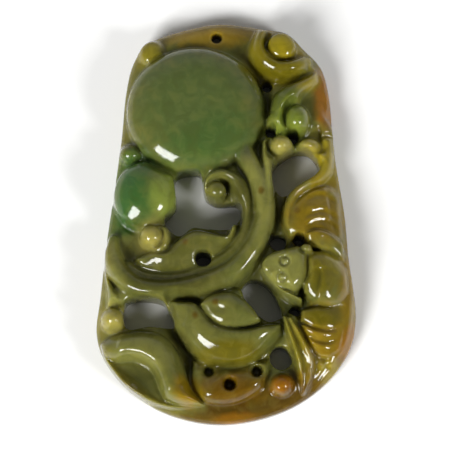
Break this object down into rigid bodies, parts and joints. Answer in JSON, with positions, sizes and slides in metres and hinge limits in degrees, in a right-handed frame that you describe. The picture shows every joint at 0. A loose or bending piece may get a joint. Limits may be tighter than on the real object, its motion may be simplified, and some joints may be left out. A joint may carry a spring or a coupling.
{
  "type": "pendant",
  "caption": "Flat-backed jade pendant tablet, carved in pierced relief with a gourd, vine, leaves, seed pod and bat, and drilled at its narrow end for a cord.",
  "frame": {"origin": "middle of the flat back, at the centre of the bounding box's footprint", "axes": "+X across the face to the right, +Y along the face to the narrow end with the hanging hole, +Z out of the carved face"},
  "size_m": [0.039, 0.062, 0.009],
  "materials": {
    "jade": "polished"
  },
  "bodies": {
    "root": {"jade_pendant": "jade"}
  },
  "joints": []
}
